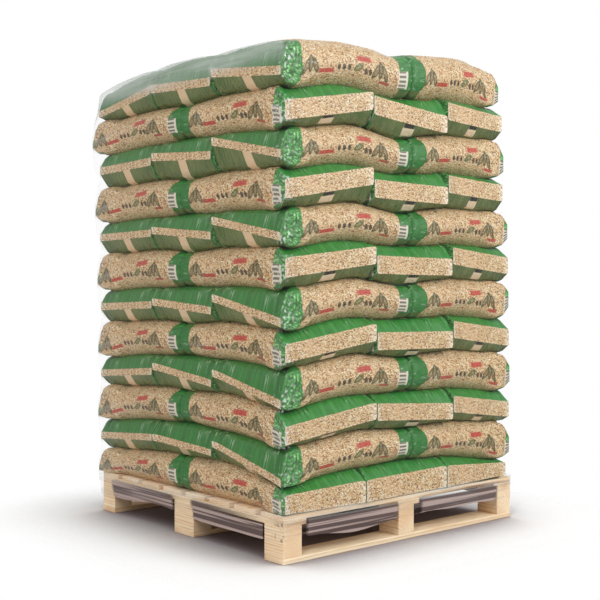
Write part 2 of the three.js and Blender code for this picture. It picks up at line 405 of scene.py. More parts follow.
# A pressed end is a little narrower
PRESSED_IN = 0.007
PLEATS_REACH = 0.16
PLEAT_DEPTH = 0.0030
DENT_DEPTH = 0.0026
PLEATS_AT_INNER_END = 0.3


def crease_field(points, seed, outer):
    """Pleats that run in from the ends and fade, as the film gathers at a folded end."""
    depth = np.zeros(len(points))
    for i, (x, y, z) in enumerate(points):
        back = HALF[0] - abs(x)
        if back > PLEATS_REACH:
            continue
        side = 7.0 if x > 0 else 0.0
        long_pleat = noise.noise((back * 7 + side, y * 48 + seed, z * 52))
        dent = noise.noise((back * 38 + seed, y * 34 + side, z * 40))
        fade = min(1, back / 0.012) * (1 - back / PLEATS_REACH) ** 1.2
        strength = 1.0 if x * outer > 0 else PLEATS_AT_INNER_END
        depth[i] = strength * fade * ((1 - abs(long_pleat) * 2.4) * PLEAT_DEPTH + dent * DENT_DEPTH)
    return depth


def shaped(points, ends):
    """The sack's points with z as a share of its height, from 0 to 1."""
    x, y, z = points.T
    back = HALF[0] - np.abs(x)

    def pick(key):
        return np.where(x > 0, ends[1][key], ends[0][key])

    folded = pick("place") > 0
    top_t = np.clip(back / pick("top_run"), 0, 1)
    under_t = np.clip(back / pick("under_run"), 0, 1)
    dome = np.sqrt(1 - (1 - top_t) ** 2)
    slope = 1 - (1 - top_t) ** 1.5
    top = pick("high") + (1 - pick("high")) * np.where(pick("place") == END_SLOT_U, slope, dome)
    under = pick("low") * (1 - under_t) ** 1.3
    ease = np.clip((back - SQUARE_FOR) / (ROUND_FROM - SQUARE_FOR), 0, 1)
    ease = np.where(folded, ease * ease * (3 - 2 * ease), 1)
    power = SQUARE_AT_END + (ROUND_IN_MIDDLE - SQUARE_AT_END) * ease
    across = np.clip((np.abs(y) - (HALF[1] - SIDE_ROUND)) / SIDE_ROUND, 0, 1)
    upright = np.abs(z) / HALF[2]
    reach = np.maximum((across ** power + upright ** power) ** (1 / power), 1)
    width = np.minimum(np.abs(y), HALF[1] - SIDE_ROUND) + SIDE_ROUND * across / reach
    width -= np.where(folded, 0.001 * (1 - ease), PRESSED_IN * np.clip(1 - back / 0.018, 0, 1) ** 2)
    share = 0.5 + 0.5 * np.sign(z) * upright / reach
    ear = EAR * (np.abs(y) / HALF[1]) ** 10 * np.clip(1 - back / 0.010, 0, 1)
    x = x + np.where(folded, np.sign(x) * ear, 0)
    return np.stack([x, np.sign(y) * width, under + share * (top - under)], 1)


on_end = np.abs(np.abs(flat_block[:, 0]) - HALF[0]) < 1e-6
print("ends hold", int(on_end.sum()), "points")

# %% [markdown]
# ## Let the film swell
# Two variants of each kind are simulated, so that neighbouring sacks don't have the same creases. The
# ends are pinned. The cloth is a little larger than the shape near the ends, where a real sack has slack.

# %% Cloth simulation
SEEDS = (0, 1)
SWELL_LIMIT = 0.007
CLOTH_FRAMES = 18
# How much larger the cloth is at an end, and how far back from it
SLACK = 0.09
SLACK_REACH = 0.15


def swell(points, seed):
    """Runs the cloth for a few frames and returns where the points went, no further than the limit."""
    deselect()
    cloth = block.copy()
    cloth.data = block.data.copy()
    bpy.context.scene.collection.objects.link(cloth)
    start = points * [1, 1, SACK_HEIGHT]
    set_points(cloth.data, start)
    pin = cloth.vertex_groups.new(name="pinned_ends")
    slack = cloth.vertex_groups.new(name="slack")
    for i in range(len(start)):
        back = HALF[0] - abs(flat_block[i, 0])
        loose = noise.noise(Vector(flat_block[i]) * 14 + Vector((seed, 0, 0)))
        slack.add([i], min(1, max(0, 1 - back / SLACK_REACH)) * (0.6 + 0.8 * loose), "REPLACE")
        if on_end[i]:
            pin.add([i], 1.0, "REPLACE")
    modifier = cloth.modifiers.new("film", "CLOTH")
    settings = modifier.settings
    settings.quality = 4
    settings.mass = 0.2
    settings.tension_stiffness = 20
    settings.compression_stiffness = 20
    settings.shear_stiffness = 10
    settings.bending_stiffness = 0.1
    settings.use_pressure = True
    settings.uniform_pressure_force = 3
    settings.vertex_group_mass = "pinned_ends"
    settings.vertex_group_shrink = "slack"
    settings.shrink_min = 0.0
    settings.shrink_max = -SLACK
    settings.effector_weights.gravity = 0
    modifier.collision_settings.use_collision = False
    for number in range(1, CLOTH_FRAMES + 1):
        bpy.context.scene.frame_set(number)
    result = cloth.evaluated_get(bpy.context.evaluated_depsgraph_get())
    move = points_of(result.data) - start
    bpy.context.scene.frame_set(1)
    bpy.data.objects.remove(cloth)
    length = np.linalg.norm(move, axis=1)
    move *= np.minimum(1, SWELL_LIMIT / np.maximum(length, 1e-9))[:, None]
    return (start + move) / [1, 1, SACK_HEIGHT]


variants = {}
for kind, ends in KINDS.items():
    outer = 1 if ends[1]["place"] else -1
    plump = shaped(flat_block, ends)
    mesh = block.data.copy()
    print_places(mesh, ends)
    for seed in SEEDS:
        points = swell(plump, (seed + outer) * 3.7)
        variants[kind, seed] = {"mesh": mesh, "points": points, "outer": outer,
                                "crease": crease_field(flat_block, (seed + 2 * outer) * 5.3, outer)}
        print(kind, seed, "moved", round(float(np.abs(points - plump).max()), 4))

# %% [markdown]
# ## Lay the sacks
# A layer holds two sacks end to end and three side by side, and each layer is turned a quarter against
# the one below. A sack could be turned and moved as it is, but then gaps and overlaps would show. Here every
# point is moved, so that the sack fills its place on the floor plan and the room between two seams.

# %% Where a sack lies
GAP = 0.0012
NEAR_LENGTH = 0.600
# Where one row of sacks ends and the next begins, as shares of the layer's width from the near corner
ROW_EDGES = {"along_x": (0, 0.333, 0.667, 1), "along_y": (0, 0.365, 0.713, 1), "bottom": (0, 0.325, 0.695, 1)}
# The sacks that lie along Y reach a little further at the back than the frame's plain layers, and their
# far ends bulge to the side.
BACK_REACH = 0.024
SIDE_BULGE = 0.012


def floor_plan(level, column, row, x, y):
    """Where the points x, y of a sack lie on the floor plan. level counts layers from 1 at the bottom,
    column counts along the sacks and row across them, both from the near corner."""
    low, high = layers[level - 1]["low"], layers[level - 1]["high"]
    along_x = level % 2 == 0
    whole = high.x - low.x if along_x else high.y - low.y + BACK_REACH
    length = NEAR_LENGTH if column == 0 else whole - NEAR_LENGTH
    whole_width = high.y - low.y if along_x else high.x - low.x
    edges = ROW_EDGES["along_x" if along_x else "bottom" if level == 1 else "along_y"]
    width = (edges[row + 1] - edges[row]) * whole_width
    facing = 1 if along_x else -1
    # along and across run from the near corner outwards
    along = NEAR_LENGTH * column + (0.5 + facing * x / SACK_LENGTH) * length
    across = edges[row] * whole_width + 0.5 * width + y * (width - 2 * GAP) / SACK_WIDTH
    if along_x:
        return low.x + along, low.y + across
    bulge = SIDE_BULGE * np.clip(along / whole - 0.5, 0, 1) * 2 * (2 * across / whole_width - 1)
    return low.x + across + bulge, low.y + along


def seam_height(layer, seam, x, y):
    """The height of a layer's base or roof at points x, y, from the probed grid."""
    low, high, grid = layer["low"], layer["high"], layer[seam]
    cells = PROBES - 1
    i = np.clip((x - low.x - PROBE_INSET) / (high.x - low.x - 2 * PROBE_INSET) * cells, 0, cells - 1e-6)
    j = np.clip((y - low.y - PROBE_INSET) / (high.y - low.y - 2 * PROBE_INSET) * cells, 0, cells - 1e-6)
    i0, j0 = i.astype(int), j.astype(int)
    fi, fj = i - i0, j - j0
    near = grid[i0, j0] * (1 - fi) + grid[i0 + 1, j0] * fi
    far = grid[i0, j0 + 1] * (1 - fi) + grid[i0 + 1, j0 + 1] * fi
    return near * (1 - fj) + far * fj


print("far sacks are", round(layers[1]["high"].x - layers[1]["low"].x - NEAR_LENGTH, 3), "m long")

# %% [markdown]
# A sack's outer end tilts as in the photographed stack: the panels lean and step at each neighbour. Its
# edges follow a line across the end, and the tilt fades out along the sack.

# %% The outer ends
TILT_FADE = 0.16
PANEL_TALL = 0.48
BAND_TALL = 0.22
BOTTOM_PANEL_TALL = 0.70
HIGHEST_EDGE = 0.97
# Where on an end's width its middle line is given
LINE_FROM = 0.08
LINE_TO = 0.92
# The middle line of each outer end, as a share of the layer's height, at the side nearer the load's near
# corner and at the other, for the three sacks of a layer counted from that corner
PANEL_LINES = {1: [(0.40, 0.31), (0.31, 0.38), (0.38, 0.48)], 3: [(0.39, 0.50), (0.50, 0.34), (0.52, 0.41)],
               5: [(0.45, 0.55), (0.38, 0.32), (0.58, 0.46)], 7: [(0.53, 0.59), (0.42, 0.34), (0.63, 0.48)],
               9: [(0.48, 0.68), (0.45, 0.34), (0.63, 0.56)], 11: [(0.41, 0.60), (0.59, 0.28), (0.60, 0.50)]}
BAND_LINES = {2: [(0.17, 0.54), (0.29, 0.46), (0.46, 0.44)], 4: [(0.19, 0.55), (0.30, 0.62), (0.47, 0.43)],
              6: [(0.23, 0.62), (0.33, 0.54), (0.46, 0.48)], 8: [(0.29, 0.70), (0.35, 0.56), (0.49, 0.52)],
              10: [(0.34, 0.74), (0.45, 0.60), (0.49, 0.50)], 12: [(0.32, 0.50), (0.34, 0.47), (0.45, 0.26)]}


def end_edges(level, row, end, y, base, roof):
    """The lower and the upper edge of a sack's outer end, as shares of the layer's height there. base and
    roof are the seams' heights at the end, and y is the place across the sack."""
    if end is SLOT_END:
        first, last = PANEL_LINES[level - level % 2 + 1 if level < 12 else 11][row]
        tall = BOTTOM_PANEL_TALL if level == 1 else PANEL_TALL
    else:
        first, last = BAND_LINES[level + level % 2][row]
        tall = BAND_TALL
    t = np.clip(y / SACK_WIDTH + 0.5, 0, 1)
    in_order = np.argsort(t)
    edges = []
    for from_line in (-tall / 2, tall / 2):
        heights = []
        for corner, line in ((LINE_FROM, first), (LINE_TO, last)):
            seam = base + max(line + from_line, 0) * (roof - base)
            heights.append(np.interp(corner, t[in_order], seam[in_order]))
        height = heights[0] + (heights[1] - heights[0]) * (t - LINE_FROM) / (LINE_TO - LINE_FROM)
        edges.append(np.clip((height - base) / (roof - base), 0, HIGHEST_EDGE))
    return edges


def steered(share, end, low, high):
    """Moves shares of the height, so that the end face's lower edge comes to low and its upper to high."""
    below = share * low / end["low"]
    inside = low + (share - end["low"]) * (high - low) / (end["high"] - end["low"])
    above = high + (share - end["high"]) * (1 - high) / (1 - end["high"])
    return np.where(share < end["low"], below, np.where(share > end["high"], above, inside))


print("end lines for", len(PANEL_LINES) + len(BAND_LINES), "layers")

# %% [markdown]
# The print is stretched with its sack, because it ends at other places on the near and the far sacks.

# %% Fit the print
# Where the print ends, in metres from its middle: on the sides at a sack's outer end and at its inner end,
# and on the top at its outer end, by whether the sack lies along X and by its column. The far sacks' caps
# go round the corner on their sides.
PRINT_ENDS = {(True, 0): (0.300, 0.285, 0.300), (True, 1): (0.231, 0.285, 0.290),
              (False, 0): (0.268, 0.277, 0.268), (False, 1): (0.221, 0.270, 0.290)}
# How far over the edge of the top the print's end on the sides turns to its end on the top
OVER_EDGE = 0.030


def fit_print(mesh, outer, side_end, inner_end, top_end):
    """Stretches the print along the sack's sides and top, to reach given places at its two ends."""
    places = np.zeros(len(mesh.loops) * 2)
    mesh.uv_layers["print"].data.foreach_get("uv", places)
    places = places.reshape(-1, 2)
    shown = (np.abs(places[:, 0]) < 0.5) & (places[:, 1] >= 0)
    outwards = 0.5 + outer * places[:, 0] / SACK_LENGTH
    over_top = np.clip((places[:, 1] - SACK_HEIGHT) / OVER_EDGE, 0, 1)
    outer_end = side_end + (top_end - side_end) * over_top
    fitted = outer * (-inner_end + (outer_end + inner_end) * outwards)
    places[:, 0] = np.where(shown, fitted, places[:, 0])
    mesh.uv_layers["print"].data.foreach_set("uv", places.astype(np.float32).ravel())


print("print ends for", len(PRINT_ENDS), "places in a layer")


# %% Build the sacks
def lay_sack(level, column, row):
    """Builds one sack, in the place that floor_plan gives it."""
    layer = layers[level - 1]
    low, high = layer["low"], layer["high"]
    along_x = level % 2 == 0
    kind = "slot_out" if (column == 0) != along_x else "band_out"
    variant = variants[kind, (level + column + row) % len(SEEDS)]
    outer = variant["outer"]
    end = SLOT_END if kind == "slot_out" else BAND_END
    x, y, share = variant["points"].T
    world_x, world_y = floor_plan(level, column, row, x, y)
    base = seam_height(layer, "base", world_x, world_y)
    roof = seam_height(layer, "roof", world_x, world_y)
    # the seams at the outer end, level with each point
    end_x = np.full(len(x), low.x if outer < 0 else high.x) if along_x else world_x
    end_y = world_y if along_x else np.full(len(x), low.y if outer > 0 else high.y)
    end_low, end_high = end_edges(level, row, end, y, seam_height(layer, "base", end_x, end_y),
                                  seam_height(layer, "roof", end_x, end_y))
    fade = np.clip(1 - (HALF[0] - outer * x) / TILT_FADE, 0, 1) ** 1.5
    share = steered(share, end, end["low"] + fade * (end_low - end["low"]),
                    end["high"] + fade * (end_high - end["high"]))
    points = np.stack([world_x, world_y, base + GAP + share * (roof - base - 2 * GAP)], 1)
    mesh = variant["mesh"].copy()
    fit_print(mesh, outer, *PRINT_ENDS[along_x, column])
    set_points(mesh, points)
    normals = np.zeros(len(points) * 3)
    mesh.vertices.foreach_get("normal", normals)
    set_points(mesh, points + normals.reshape(-1, 3) * variant["crease"][:, None])
    outwards = (0.5 + outer * flat_block[:, 0] / SACK_LENGTH).astype(np.float32)
    mesh.attributes.new("outwards", "FLOAT", "POINT").data.foreach_set("value", outwards)
    mesh.name = f"sack_{level:02d}_{column * 3 + row + 1}"
    sack = bpy.data.objects.new(mesh.name, mesh)
    bpy.context.scene.collection.objects.link(sack)
    return sack


sacks = []
for level in range(1, len(layers) + 1):
    for column in range(2):
        for row in range(3):
            sack = lay_sack(level, column, row)
            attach(sack, "root")
            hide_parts(layer_names[level - 1])
            sacks.append(sack)
bpy.data.objects.remove(block)
print(len(sacks), "sacks", len(sacks[0].data.polygons) * 2 * len(sacks), "triangles")

# %% [markdown]
# Smooth shading would make the folded ends look round, so every edge between an end's panel and the rest
# of the sack is marked as sharp. The panels are the faces whose print lies beyond the sides' print.

# %% Crisp folded edges
for sack in sacks:
    mesh = sack.data
    sides = {}
    for face in mesh.polygons:
        on_panel = mesh.uv_layers["print"].data[face.loop_start].uv.x > 0.5
        for key in face.edge_keys:
            sides.setdefault(key, set()).add(on_panel)
    sharp = np.array([len(sides[edge.key]) == 2 for edge in mesh.edges])
    mesh.polygons.foreach_set("use_smooth", np.ones(len(mesh.polygons), bool))
    mesh.attributes.new("sharp_edge", "BOOLEAN", "EDGE").data.foreach_set("value", sharp)
print("sharp edges on a sack", int(sharp.sum()))

# %% [markdown]
# ## Stretch film
# Clear film is wound round the load under tension, from the shoulders of the top sacks down over the edge
# of the pallet's deck, and its lowest turns hang across the fork openings. Taut film is straight between
# the points that it touches, so at each height it follows the convex outline of what it holds, and
# upwards it dips only a little into the grooves between layers. A cloth simulation would find the same
# shape slowly. Here it is worked out: the outline at each height first, then a smoothing over height.

# %% Outline of the load at each height
FILM_LIFT = 0.0015
FILM_LOW = 0.055
FILM_STEP = 0.006
# Points this far above or below a height belong to its outline
HALF_SLICE = 0.009
# How far up and down the film bridges grooves, and how fast it dips into them
BRIDGE_REACH = 0.10
GROOVE_BEND = 1.6
# Further out than any point of the load
FAR_OUT = 9.0
SIDE_COLUMNS = 72
LOAD_SIDE = 1.15

side_steps = np.linspace(-1, 1, SIDE_COLUMNS + 1)[:-1]
side_steps = 0.45 * side_steps + 0.55 * np.sin(side_steps * math.pi / 2)
square = [(1.0, s) for s in side_steps] + [(-s, 1.0) for s in side_steps]
square += [(-1.0, -s) for s in side_steps] + [(s, -1.0) for s in side_steps]
rays = np.array(square)
film_pace = np.linalg.norm(np.diff(np.vstack([rays, rays[:1]]), axis=0), axis=1) * LOAD_SIDE / 2
film_place = np.concatenate([[0], np.cumsum(film_pace)])
rays /= np.linalg.norm(rays, axis=1)[:, None]

load_points = np.vstack([points_of(sack.data) for sack in sacks])
deck_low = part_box("pallet_deck_board_1")[0]
deck_corner = max(abs(deck_low.x), abs(deck_low.y))
deck_points = np.array([(sx * deck_corner, sy * deck_corner) for sx in (-1, 1) for sy in (-1, 1)])
load_top = load_points[:, 2].max()
film_heights = np.arange(FILM_LOW, load_top, FILM_STEP)
outline = np.zeros((len(film_heights), len(rays)))
sorted_points = load_points[np.argsort(load_points[:, 2])]
for number, z in enumerate(film_heights):
    first, last = np.searchsorted(sorted_points[:, 2], (z - HALF_SLICE, z + HALF_SLICE))
    flat = sorted_points[first:last, :2]
    if z < deck_top + HALF_SLICE:
        flat = np.vstack([flat, deck_points])
    ring = flat[convex_hull_2d([tuple(p) for p in flat])]
    if len(ring) < 3:
        continue
    edge = np.roll(ring, -1, axis=0) - ring
    normal = np.stack([edge[:, 1], -edge[:, 0]], 1) / np.linalg.norm(edge, axis=1)[:, None]
    offset = (normal * ring).sum(1)
    if offset.mean() < 0:
        normal, offset = -normal, -offset
    slope = rays @ normal.T
    outline[number] = np.where(slope > 1e-6, offset / np.maximum(slope, 1e-6), FAR_OUT).min(1)
reach = int(BRIDGE_REACH / FILM_STEP)
taut = outline.copy()
for shift in range(-reach, reach + 1):
    drop = GROOVE_BEND * (shift * FILM_STEP) ** 2
    moved = np.roll(outline, shift, axis=0) - drop
    if shift > 0:
        moved[:shift] = 0
    elif shift < 0:
        moved[shift:] = 0
    taut = np.maximum(taut, moved)
taut += FILM_LIFT
print("film outline", taut.shape, "at mid height", round(float(taut[len(taut) // 2].min()), 4))

# %% [markdown]
# The film is one open sheet: a grid with a column for each ray and rows from its lowest turn to the
# shoulder, over it in an arc, and a hand's width in over the top. Its end overlaps its start at the back.

# %% One column of the film
SIDE_ROWS = 190
ARC_ROWS = 8
TOP_ROWS = 5
SHOULDER = 0.050
SHOULDER_POWER = 2.8
TOP_REACH = (0.075, 0.115)
# The side's width is taken this far below the load's top
BELOW_TOP = 0.10
CROWN_LIFT = 0.002
HEM_LIFT = 0.018
HEM_WAVE = 0.022
RIPPLE = 0.0011
LAP = 0.0008


def roof_height(x, y):
    return float(seam_height(layers[-1], "roof", np.array([x]), np.array([y]))[0])


def film_profile(ray_number, lap):
    """One column of the film: its points from the bottom up, and how far along the film each lies."""
    ray = rays[ray_number]
    bend = max(abs(ray[0]), abs(ray[1]))
    shoulder = SHOULDER / bend
    widest = float(np.interp(load_top - BELOW_TOP, film_heights, taut[:, ray_number]))
    crown = roof_height(*(ray * (widest - shoulder))) + CROWN_LIFT
    turn = crown - SHOULDER
    wave = noise.noise(Vector((ray[0] * 3, ray[1] * 3, 0.3)))
    bottom = FILM_LOW + HEM_LIFT + HEM_WAVE * wave
    points = []
    for z in np.linspace(bottom, turn, SIDE_ROWS):
        far = float(np.interp(z, film_heights, taut[:, ray_number]))
        ripple = noise.noise(Vector((ray[0] * 1.5, ray[1] * 1.5, z * 60)))
        far += RIPPLE * (1 + ripple) + LAP * lap
        points.append((*(ray * far), z))
    edge = float(np.linalg.norm(points[-1][:2]))
    for step in range(1, ARC_ROWS + 1):
        angle = math.pi / 2 * step / ARC_ROWS
        inwards = shoulder * (1 - math.cos(angle) ** (2 / SHOULDER_POWER))
        rise = SHOULDER * math.sin(angle) ** (2 / SHOULDER_POWER)
        points.append((*(ray * (edge - inwards)), turn + rise))
    ragged = noise.noise(Vector((ray[0] * 5, ray[1] * 5, 4.2))) * 0.5 + 0.5
    last = (TOP_REACH[0] + (TOP_REACH[1] - TOP_REACH[0]) * ragged) / bend
    for step in range(1, TOP_ROWS + 1):
        inwards = shoulder + (last - shoulder) * step / TOP_ROWS
        spot = ray * (edge - inwards)
        points.append((*spot, roof_height(*spot) + CROWN_LIFT))
    points = np.array(points)
    steps = np.linalg.norm(np.diff(points, axis=0), axis=1)
    return points, np.concatenate([[0], np.cumsum(steps)]) + bottom


rows = SIDE_ROWS + ARC_ROWS + TOP_ROWS
print("a column has", rows, "points")

# %% Make the film
# The film starts halfway along the back, the second side.
START_SIDE = 1.5
OVERLAP_COLUMNS = 8

columns = len(rays) + OVERLAP_COLUMNS
deselect()
bpy.ops.mesh.primitive_grid_add(x_subdivisions=columns - 1, y_subdivisions=rows - 1, size=1)
film = bpy.context.object
film.name = "stretch_film_wound"
film.data.name = film.name
flat_grid = points_of(film.data)
column_of = np.rint((flat_grid[:, 0] + 0.5) * (columns - 1)).astype(int)
row_of = np.rint((flat_grid[:, 1] + 0.5) * (rows - 1)).astype(int)
first_ray = int(SIDE_COLUMNS * START_SIDE)
film_points = np.zeros((len(flat_grid), 3))
film_uv = np.zeros((len(flat_grid), 2))
for column in range(columns):
    number = (first_ray + column) % len(rays)
    profile, run = film_profile(number, lap=column >= len(rays))
    here = column_of == column
    film_points[here] = profile[row_of[here]]
    film_uv[here, 0] = film_place[number] + (film_place[-1] if column >= len(rays) else 0)
    film_uv[here, 1] = run[row_of[here]]
set_points(film.data, film_points)
film_map = film.data.uv_layers.active
film_map.name = "film"
corner_points = np.zeros(len(film.data.loops), np.int32)
film.data.loops.foreach_get("vertex_index", corner_points)
film_map.data.foreach_set("uv", film_uv[corner_points].astype(np.float32).ravel())
print("film", columns, "by", rows, "points")

# %% [markdown]
# The film's material has to know where it lies on the load and where it hangs free, so each point notes how
# far the nearest sack or board is: 0 where the film lies on it, and 1 where it stands well clear.

# %% Where the film stands clear
CLEAR_FROM = 0.004
CLEAR_AT = 0.012

solid_points = []
solid_faces = []
for piece in [*sacks, *(nodes[name] for name in wood_names)]:
    first = len(solid_points)
    solid_points.extend(vertex.co for vertex in piece.data.vertices)
    solid_faces.extend([first + corner for corner in face.vertices] for face in piece.data.polygons)
solid = BVHTree.FromPolygons(solid_points, solid_faces)
gaps = [solid.find_nearest(point, CLEAR_AT)[3] for point in film_points]
gaps = np.array([CLEAR_AT if far is None else far for far in gaps])
stands_clear = np.clip((gaps - CLEAR_FROM) / (CLEAR_AT - CLEAR_FROM), 0, 1).astype(np.float32)
film.data.attributes.new("stands_clear", "FLOAT", "POINT").data.foreach_set("value", stands_clear)
outward = sum(face.normal.dot(Vector((face.center.x, face.center.y, 0))) for face in film.data.polygons)
if outward < 0:
    bpy.ops.object.mode_set(mode="EDIT")
    bpy.ops.mesh.select_all(action="SELECT")
    bpy.ops.mesh.flip_normals()
    bpy.ops.object.mode_set(mode="OBJECT")
bpy.ops.object.shade_smooth()
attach(film, "root")
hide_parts("stretch_film")
area = sum(face.area for face in film.data.polygons)
print("film", len(film.data.polygons) * 2, "triangles", round(area, 2), "square metres")

# %% [markdown]
# ## Helpers for patterns
# A pattern is a number from 0 to 1 all over a surface. Patterns are limited to a stretch, combined by
# multiplying them, and turned into colours by a ramp.


# %% Helpers for patterns
def product(tree, value, *others):
    """Multiplies values, such as patterns that have to hold together."""
    for other in others:
        value = add(tree, "Math", [value, other], operation="MULTIPLY")
    return value


def distance(tree, value, middle):
    """How far a value is from a middle one, either way."""
    way = add(tree, "Math", [value, middle], operation="SUBTRACT")
    return add(tree, "Math", [way], operation="ABSOLUTE")


def between(tree, value, low, high, soft):
    """1 where a value lies between two limits, with soft edges."""
    above = add(tree, "MapRange", [value, low - soft, low + soft])
    return product(tree, above, add(tree, "MapRange", [value, high - soft, high + soft, 1.0, 0.0]))


def set_stops(node, stops):
    """Gives a colour ramp its (position, hex colour) stops."""
    elements = node.color_ramp.elements
    while len(elements) < len(stops):
        elements.new(0.5)
    for element, (position, code) in zip(elements, stops):
        element.position = position
        element.color = linear(code)


# %% [markdown]
# ## Film material
# Stretch film is clear polyethylene with a strong gloss. It shows where it creases, where its turns
# overlap, and where it gathers into ropes across the fork openings. Between the ropes it is painted dark,
# as painted shade in the openings, and at the near corner painted glints lie on it. It could be given one
# even opacity, but then it would veil the whole load. Here each of those places gets an opacity of its
# own, which follows fine lines along the winding, and the strongest one counts.

# %% Places on the film
ROPES_BELOW = 0.132
# How far the blocks reach from the pallet's corners, and from the middle of its sides
CORNER_BLOCK = 0.102
HALF_MIDDLE_BLOCK = 0.060
# A place along the winding is counted in metres round the load, from the front right corner by the back.
LEFT_CORNER = 2 * LOAD_SIDE
NEAR_CORNER = 3 * LOAD_SIDE

wrap, tree, shader = new_material("clear_stretch_film_polyethylene")
film_map_node = add(tree, "UVMap", uv_map="film")
film_place_node = add(tree, "SeparateXYZ", [film_map_node])
film_around, film_height = film_place_node.outputs["X"], film_place_node.outputs["Y"]
clear = add(tree, "Attribute", attribute_name="stands_clear").outputs["Fac"]
low_zone = add(tree, "MapRange", [film_height, ROPES_BELOW, ROPES_BELOW + 0.008, 1.0, 0.0])
# The blocks are at the corners and halfway along each side.
from_corner = add(tree, "Math", [film_around, LOAD_SIDE / 2], operation="PINGPONG")
off_blocks = between(tree, from_corner, CORNER_BLOCK, LOAD_SIDE / 2 - HALF_MIDDLE_BLOCK, 0.008)
print("near corner at", round(NEAR_CORNER, 2), "m along the film")


# %% Creases, ropes and slack film painted as shade
def film_noise(per_metre_round, per_metre_up, detail):
    """Noise that is stretched along the winding."""
    stretch = add(tree, "Mapping", {"Vector": film_map_node, "Scale": (per_metre_round, per_metre_up, 1.0)})
    return add(tree, "TexNoise", {"Vector": stretch, "Scale": 1.0, "Detail": detail})


creases = film_noise(2.2, 95.0, 2.0)
crease_alpha = product(tree, add(tree, "MapRange", [creases, 0.58, 0.78, 0.0, 0.28]),
                       add(tree, "MapRange", [film_noise(1.6, 5.0, 1.0), 0.35, 0.7, 0.25, 1.0]),
                       add(tree, "MapRange", [clear, 0.0, 1.0, 1.0, 0.15]))
# Across the fork openings the film hangs slack, gathered into a few paler ropes. Between them it is nearly
# opaque and painted dark, as painted shade inside the openings. The wood of the blocks shows through it.
ropes = add(tree, "MapRange", [film_noise(0.9, 66.0, 2.5), 0.51, 0.58])
rope_alpha = product(tree, ropes, add(tree, "MapRange", [clear, 0.0, 0.4, 0.22, 0.80]), low_zone,
                     add(tree, "MapRange", [off_blocks, 0.0, 1.0, 0.20, 1.0]))
# The slack film's opacity carries the painted shade of the openings.
slack_shade_alpha = product(tree, add(tree, "MapRange", [clear, 0.05, 0.45, 0.0, 0.95]), low_zone, off_blocks)
print("creases, ropes and slack film:", len(tree.nodes), "nodes")

# %% Folds, painted glints and milky turns with painted sheen
DECK_EDGE_FROM = 0.122
DECK_EDGE_TO = 0.174
MILKY_FROM = 1.60

# Where the film bends over the deck's edge it lies in folds and looks milky.
at_edge = product(tree, add(tree, "MapRange", [film_height, DECK_EDGE_FROM, DECK_EDGE_FROM + 0.010]),
                  add(tree, "MapRange", [film_height, DECK_EDGE_TO - 0.016, DECK_EDGE_TO, 1.0, 0.0]))
edge_alpha = product(tree, at_edge,
                     add(tree, "MapRange", [film_noise(5.0, 60.0, 2.0), 0.40, 0.65, 0.03, 0.34]))
# Where it is stretched over the crumpled ends at the load's near corner, pale glints are painted on it as
# painted highlights.
from_near = distance(tree, film_around, NEAR_CORNER)
shards = add(tree, "TexNoise", {"Vector": film_map_node, "Scale": 60.0, "Detail": 2.0},
             noise_type="RIDGED_MULTIFRACTAL")
painted_glint_alpha = product(tree, add(tree, "MapRange", [shards, 0.05, 0.30, 0.0, 0.62]),
                      add(tree, "MapRange", [from_near, 0.020, 0.075, 1.0, 0.0]),
                      add(tree, "Math", [1.0, clear], operation="SUBTRACT"))
# On the left of the top layer the film is painted milky: partly the last turns folded over the edge,
# partly painted sheen.
milky_and_sheen_alpha = product(tree, add(tree, "MapRange", [film_height, MILKY_FROM, MILKY_FROM + 0.06, 0.0, 0.58]),
                      between(tree, film_around, LEFT_CORNER - 0.05, NEAR_CORNER, 0.01),
                      add(tree, "MapRange", [clear, 0.0, 1.0, 1.0, 0.62]),
                      add(tree, "MapRange", [film_noise(3.0, 34.0, 2.5), 0.35, 0.65, 0.66, 1.22]))
# Round the far left corner there is a thin veil.
from_left = distance(tree, film_around, LEFT_CORNER)
veil_alpha = product(tree, add(tree, "MapRange", [from_left, 0.05, 0.45, 0.17, 0.0]),
                     add(tree, "MapRange", [clear, 0.0, 1.0, 1.0, 0.15]))
print("folds, glints and milky turns:", len(tree.nodes), "nodes")

# %% Put the film's material together
LEAST_ALPHA = 0.012

alpha = crease_alpha
for other in (rope_alpha, slack_shade_alpha, edge_alpha, painted_glint_alpha, milky_and_sheen_alpha, veil_alpha):
    alpha = add(tree, "Math", [alpha, other], operation="MAXIMUM")
alpha = add(tree, "Math", [alpha, LEAST_ALPHA], operation="ADD")
# Low down, the film between the ropes is painted dark mauve brown as painted shade for the fork openings,
# and the ropes are paler.
ropes_and_shade = painted(tree, "#5A4744", [(ropes, "#B9A39C")])
above_ropes = add(tree, "MapRange", [film_height, ROPES_BELOW, ROPES_BELOW + 0.012])
film_colour = painted(tree, ropes_and_shade, [(above_ropes, "#F2F7F4")])
film_bump = add(tree, "Bump", {"Strength": 0.5, "Distance": 0.003, "Height": creases})
plug(tree, shader, {"Base Color": film_colour, "Alpha": alpha, "Normal": film_bump, "Roughness": 0.16,
                    "IOR": 1.5})
film.data.materials.clear()
film.data.materials.append(wrap)
print("film material", len(tree.nodes), "nodes")

# %% [markdown]
# ## Printed polyethylene film
# The sacks are blown polyethylene film, printed and glossy. The film shows a picture of wood pellets, with
# green ends. Real pellets are 6 mm thick, and printed ones are smaller. They could be drawn as round spots.
# Two sets of long Voronoi cells that lie across each other look more like short rods in a heap.

# %% Pellets on the print
PELLET_ACROSS = 0.0032
PELLET_LONG = 0.0056
PELLETS_TURNED = (0.5, 2.1)
# Rods lie one way over about 14 mm, and paler clouds are about 110 mm wide.
ROD_PATCHES = 70.0
CLOUDS = 9.0

